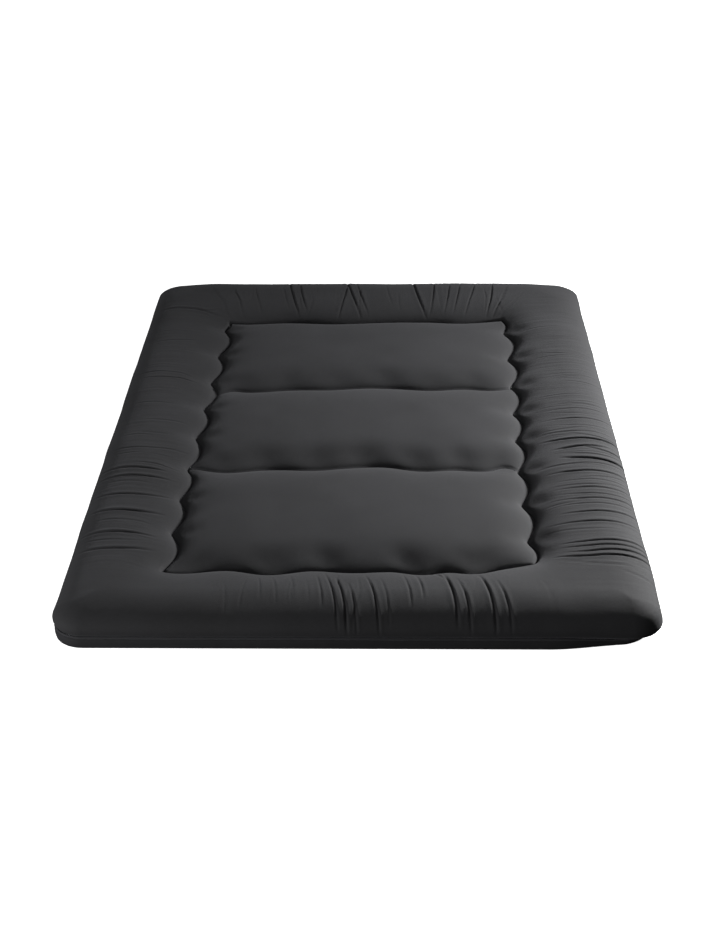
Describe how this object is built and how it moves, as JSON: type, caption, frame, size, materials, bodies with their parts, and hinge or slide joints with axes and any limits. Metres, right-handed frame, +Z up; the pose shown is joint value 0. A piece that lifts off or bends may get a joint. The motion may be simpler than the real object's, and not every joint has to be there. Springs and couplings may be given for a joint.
{
  "type": "futon mattress",
  "caption": "Quilted floor futon mattress: puffy border roll round flat stitched panels, piped side band, folds in sections at its quilted lines.",
  "frame": {"origin": "centre of the underside, on the floor", "axes": "+X across the width, +Y along the length towards the head end, +Z up"},
  "size_m": [1.37, 2.03, 0.095],
  "materials": {
    "cover_fabric": "matte brushed microfibre",
    "base_fabric": "matte plain weave",
    "piping_fabric": "matte bias-cut tape over a cord",
    "fibre_fill": "lofty white fibre",
    "foam": "open-cell foam",
    "thread": "polyester thread",
    "label_cloth": "blank satin tape"
  },
  "bodies": {
    "foot": {"base_cloth_foot": "base_fabric", "border_cover_foot_end": "cover_fabric", "border_cover_left_foot": "cover_fabric", "border_cover_right_foot": "cover_fabric", "border_fill_foot_end": "fibre_fill", "border_fill_left_foot": "fibre_fill", "border_fill_right_foot": "fibre_fill", "core_foam_foot": "foam", "lower_wadding_foot": "fibre_fill", "panel_cover_foot": "cover_fabric", "panel_fill_foot": "fibre_fill", "piping_foot_end": "piping_fabric", "piping_left_foot": "piping_fabric", "piping_right_foot": "piping_fabric", "quilt_stitching_foot": "thread", "seam_stitching_foot": "thread", "side_band_foot_end": "base_fabric", "side_band_left_foot": "base_fabric", "side_band_right_foot": "base_fabric"},
    "middle": {"base_cloth_middle": "base_fabric", "border_cover_left_middle": "cover_fabric", "border_cover_right_middle": "cover_fabric", "border_fill_left_middle": "fibre_fill", "border_fill_right_middle": "fibre_fill", "core_foam_middle": "foam", "lower_wadding_middle": "fibre_fill", "panel_cover_middle": "cover_fabric", "panel_fill_middle": "fibre_fill", "piping_left_middle": "piping_fabric", "piping_right_middle": "piping_fabric", "seam_stitching_middle": "thread", "side_band_left_middle": "base_fabric", "side_band_right_middle": "base_fabric"},
    "head": {"base_cloth_head": "base_fabric", "border_cover_head_end": "cover_fabric", "border_cover_left_head": "cover_fabric", "border_cover_right_head": "cover_fabric", "border_fill_head_end": "fibre_fill", "border_fill_left_head": "fibre_fill", "border_fill_right_head": "fibre_fill", "care_label": "label_cloth", "core_foam_head": "foam", "lower_wadding_head": "fibre_fill", "panel_cover_head": "cover_fabric", "panel_fill_head": "fibre_fill", "piping_head_end": "piping_fabric", "piping_left_head": "piping_fabric", "piping_right_head": "piping_fabric", "quilt_stitching_head": "thread", "seam_stitching_head": "thread", "side_band_head_end": "base_fabric", "side_band_left_head": "base_fabric", "side_band_right_head": "base_fabric"}
  },
  "joints": [
    {"name": "foot_fold", "type": "hinge", "parent": "foot", "child": "middle", "pos_m": [0, -0.277, 0.0953], "axis": [1, 0, 0], "range_deg": [0, 179]},
    {"name": "head_fold", "type": "hinge", "parent": "middle", "child": "head", "pos_m": [0, 0.215, -0.0003], "axis": [1, 0, 0], "range_deg": [-179, 0]}
  ],
  "couplings": [
    {"joint": "head_fold", "follows": "foot_fold", "ratio": -1}
  ]
}
